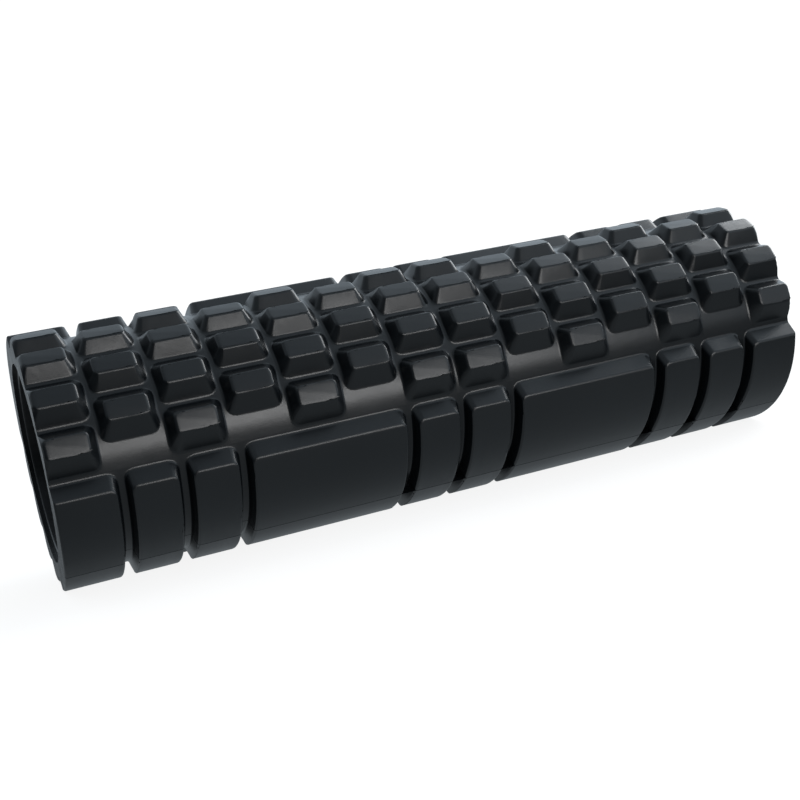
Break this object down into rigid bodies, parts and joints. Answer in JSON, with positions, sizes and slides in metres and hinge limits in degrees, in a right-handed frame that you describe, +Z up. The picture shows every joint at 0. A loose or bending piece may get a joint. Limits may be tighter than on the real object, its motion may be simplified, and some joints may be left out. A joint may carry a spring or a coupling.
{
  "type": "foam roller",
  "caption": "Hollow massage roller: a rigid core tube wrapped in a foam mat moulded with zones of raised blocks and zones of long smooth pads.",
  "frame": {"origin": "on the roller's axis, at the middle of its length", "axes": "+X along the axis, +Z up with the roller lying on the ground, -Y the side with long pads below and blocks above"},
  "size_m": [0.45, 0.139, 0.1386],
  "materials": {
    "core_plastic": "satin extruded ABS, black",
    "foam": "moulded closed-cell EVA foam, black with a satin skin",
    "glue": "cured contact adhesive, black"
  },
  "bodies": {
    "root": {"core_tube": "core_plastic", "core_bond": "glue", "foam_sleeve": "foam", "seam_bond": "glue"}
  },
  "joints": []
}
